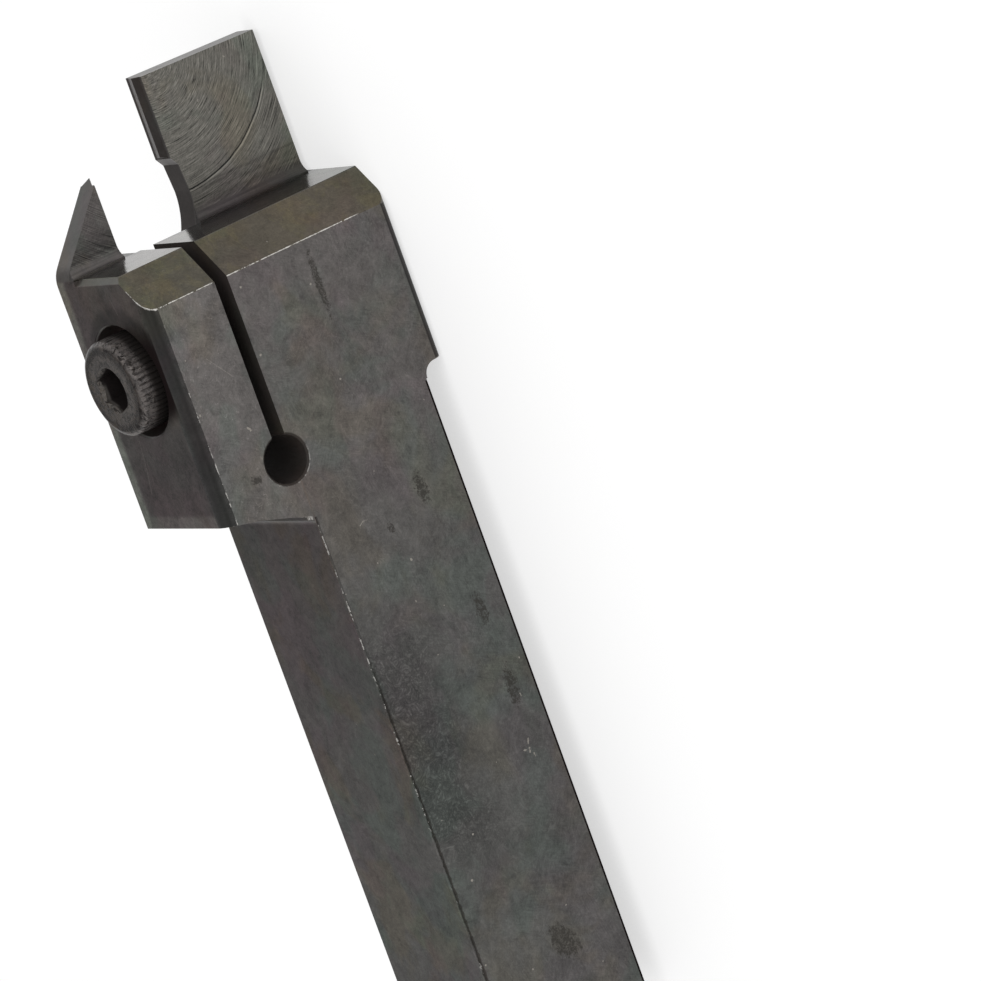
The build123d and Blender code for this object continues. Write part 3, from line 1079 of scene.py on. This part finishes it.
@dataclass
class ClampScrew:
    """The socket head screw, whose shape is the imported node's own."""

    node: str = "clamp_screw"
    steel: ScrewSteel = ScrewSteel()
    x: float = 64.1
    y: float = -1.45
    top: float = 42.2
    top_radius: float = 5.7
    knurl_radius: Step = (6.0, 6.4)
    socket_radius: float = 3.46
    shade_from: float = 40.5
    shade_to: float = 39.0

    def dress(self) -> None:
        """Gives the node its steel."""
        steel = self.steel
        graph = Graph.of_material("screw_steel")
        at = graph.place()
        z = at.z
        reach = length(at.x - self.x, at.y - self.y)
        left = at.y - self.y + (self.x - at.x) * 0.5
        mottle = at.noise(steel.mottle)
        grain = at.noise(steel.grain)
        # The knurl's ridges are rubbed lighter near the top, and their fade lower down goes with the painted
        # shade below.
        shoulder = reach.rise(self.top_radius + 0.6, self.top_radius + 1.1)
        shoulder = shoulder * z.rise(self.shade_to, self.shade_from)
        groove = reach.near(self.top_radius + 0.1, 0.15, 0.45) * z.rise(self.top - 0.9, self.top - 0.4)
        crest = reach.near(self.socket_radius + 1.0, 0.2, 0.8) * z.rise(self.top - 0.2, self.top - 0.1)
        lip = reach.between(self.socket_radius - 0.55, self.socket_radius + 0.4, 0.06)
        lip = lip * z.rise(self.top - 1.1, self.top - 0.7) * z.rise(self.top + 0.01, self.top - 0.03)
        colour = graph.mix(shoulder * 0.8, steel.body, steel.ridge)
        for mask, coat in ((groove * 0.65, steel.grime_and_shade), (crest * 0.45, steel.lip), (lip, steel.lip)):
            colour = graph.mix(mask, colour, coat)
        factor = 1.0 + (mottle - 0.5) * steel.mottle_amount + (grain - 0.5) * steel.grain_amount
        colour = graph.shade(colour, factor.most(steel.darkest))
        rusty = mottle.rise(*steel.rust_steps) * (0.3 + left.rise(1.0, 6.0) * 0.6)
        colour = graph.mix(rusty, colour, steel.rust)
        # Painted shade: the knurl darkens lower down, where it sinks into the counterbore.
        low = z.rise(self.shade_from - 0.1, self.shade_to) * reach.rise(*self.knurl_radius)
        colour = graph.mix(any_of(low * 0.9, steel.pits.over(at) * 0.85), colour, steel.grime_and_shade)
        socket = reach.rise(self.socket_radius + 0.15, self.socket_radius + 0.05)
        socket = socket * z.rise(self.top - 0.3, self.top - 1.0)
        lit_wall = left.rise(2.4, 3.0) * z.rise(self.top - 1.2, self.top - 0.8)
        lit_wall = lit_wall * (at.x - self.x).rise(1.4, 0.4)
        colour = graph.mix(socket * 0.95, colour, graph.mix(lit_wall, steel.socket, steel.lip))
        inputs = {
            "Base Color": colour,
            "Metallic": steel.metallic,
            "Roughness": steel.roughness + (mottle - 0.5) * 0.3 + any_of(socket, low) * 0.5,
            "Specular IOR Level": steel.specular,
            "Normal": graph.bump(grain * 0.4 + mottle * 0.6, steel.bump_depth, steel.bump_strength),
        }
        finish(self.node, graph.surface(graph.node("ShaderNodeBsdfPrincipled", inputs=inputs)))


def finish(node: str, material: bpy.types.Material) -> None:
    """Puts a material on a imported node.

    Args:
        node: the node's name.
        material: its new material.
    """
    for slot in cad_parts[node].material_slots:
        slot.material = material
    log.info("dressed %s with %s", node, material.name)


@dataclass(frozen=True)
class SoftLamp:
    """A square soft lamp: its place and aim in millimetres, its side in metres and its power in watts."""

    name: str
    place: Triple
    aim: Triple
    side: float
    power: float

    def light(self) -> None:
        """Adds the lamp to the scene."""
        data = bpy.data.lights.new(self.name, "AREA")
        data.shape = "SQUARE"
        data.size = self.side
        data.energy = self.power
        lamp = bpy.data.objects.new(self.name, data)
        lamp.location = Vector(self.place) * MM
        lamp.rotation_euler = (Vector(self.aim) - Vector(self.place)).to_track_quat("-Z", "Y").to_euler()
        bpy.context.scene.collection.objects.link(lamp)


@dataclass
class Studio:
    """Pale floor, soft light, white surroundings and the camera.

    The floor's size and the camera's clip distances are in metres.
    """

    floor_height: float = -3.9
    floor_size: float = 6.0
    floor_colour: Colour = grey(0.8)
    floor_seen: Colour = grey(0.45)
    floor_lift: float = 0.6
    ambient: float = 0.75
    sky_stops: tuple[tuple[float, Colour], ...] = ((0.03, grey(1.0)), (0.42, grey(0.22)))
    camera_place: Triple = (221.312, -783.142, 457.533)
    camera_ahead: Triple = (-0.208904, 0.839237, -0.502036)
    camera_up: Triple = (0.919755, -0.005819, -0.39245)
    focal_length: float = 236.306
    sensor: float = 36.0
    clip_start: float = 0.05
    clip_end: float = 20.0
    lamps: tuple[SoftLamp, ...] = (
        SoftLamp("key_lamp", (500, -500, 700), (40, 0, 15), 0.8, 2.6),
        SoftLamp("fill_lamp", (-500, -400, 500), (40, 0, 15), 0.8, 1.0),
    )

    def lay_floor(self) -> None:
        """Adds the floor under the foot."""
        mesh = bpy.data.meshes.new("floor")
        shape = bmesh.new()
        bmesh.ops.create_grid(shape, x_segments=1, y_segments=1, size=self.floor_size / 2)
        bmesh.ops.translate(shape, verts=shape.verts, vec=(0, 0, self.floor_height * MM))
        shape.to_mesh(mesh)
        shape.free()
        floor = bpy.data.objects.new("floor", mesh)
        bpy.context.scene.collection.objects.link(floor)
        graph = Graph.of_material("floor_pale")
        matte = graph.node("ShaderNodeBsdfDiffuse", inputs={"Color": self.floor_colour})
        pale = graph.node("ShaderNodeBsdfDiffuse", inputs={"Color": self.floor_seen})
        lift = graph.node("ShaderNodeEmission", inputs={"Color": WHITE, "Strength": self.floor_lift})
        lifted = graph.node("ShaderNodeAddShader", inputs={0: pale, 1: lift})
        shader = graph.node("ShaderNodeMixShader", inputs={0: graph.seen_white(), 1: matte, 2: lifted})
        mesh.materials.append(graph.surface(shader))

    def set_world(self) -> None:
        """Makes the surroundings: a plain ambient light, seen as white low down and dimmer overhead."""
        world = bpy.data.worlds.new("surroundings")
        bpy.context.scene.world = world
        graph = Graph(world)
        upward = graph.node("ShaderNodeTexCoord", output="Generated")
        height = graph.node("ShaderNodeSeparateXYZ", inputs={0: upward}, output="Z")
        sky = graph.node("ShaderNodeValToRGB", {"stops": self.sky_stops}, {0: height})
        camera_ray = graph.node("ShaderNodeLightPath", output=Ray.CAMERA.value)
        shown = graph.mix(camera_ray, sky, WHITE)
        shown = graph.node("ShaderNodeBackground", inputs={"Color": shown, "Strength": 1.0})
        ambient = graph.node("ShaderNodeBackground", inputs={"Color": WHITE, "Strength": self.ambient})
        mixed = graph.node("ShaderNodeMixShader", inputs={0: graph.seen_white(), 1: ambient, 2: shown})
        graph.surface(mixed, Output.WORLD)

    def set_camera(self) -> None:
        """Places the camera where the photograph was taken from."""
        data = bpy.data.cameras.new("camera")
        data.sensor_width = self.sensor
        data.lens = self.focal_length
        data.clip_start = self.clip_start
        data.clip_end = self.clip_end
        camera = bpy.data.objects.new("camera", data)
        ahead = Vector(self.camera_ahead).normalized()
        right = ahead.cross(Vector(self.camera_up)).normalized()
        turn = Matrix((right, right.cross(ahead), -ahead)).transposed().to_4x4()
        camera.matrix_world = Matrix.Translation(Vector(self.camera_place) * MM) @ turn
        bpy.context.scene.collection.objects.link(camera)
        bpy.context.scene.camera = camera

    def set_up(self) -> None:
        """Builds the whole studio."""
        self.lay_floor()
        self.set_world()
        for lamp in self.lamps:
            lamp.light()
        self.set_camera()
        bpy.context.scene.view_settings.view_transform = "Standard"
        log.info("studio ready with %d lamps", len(self.lamps))


def main() -> None:
    """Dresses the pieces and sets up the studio."""
    logging.basicConfig(level=logging.INFO, format="%(name)s: %(message)s")
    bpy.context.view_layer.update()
    HolderBody().dress()
    ClampScrew().dress()
    Studio().set_up()


if __name__ == "__main__":
    main()
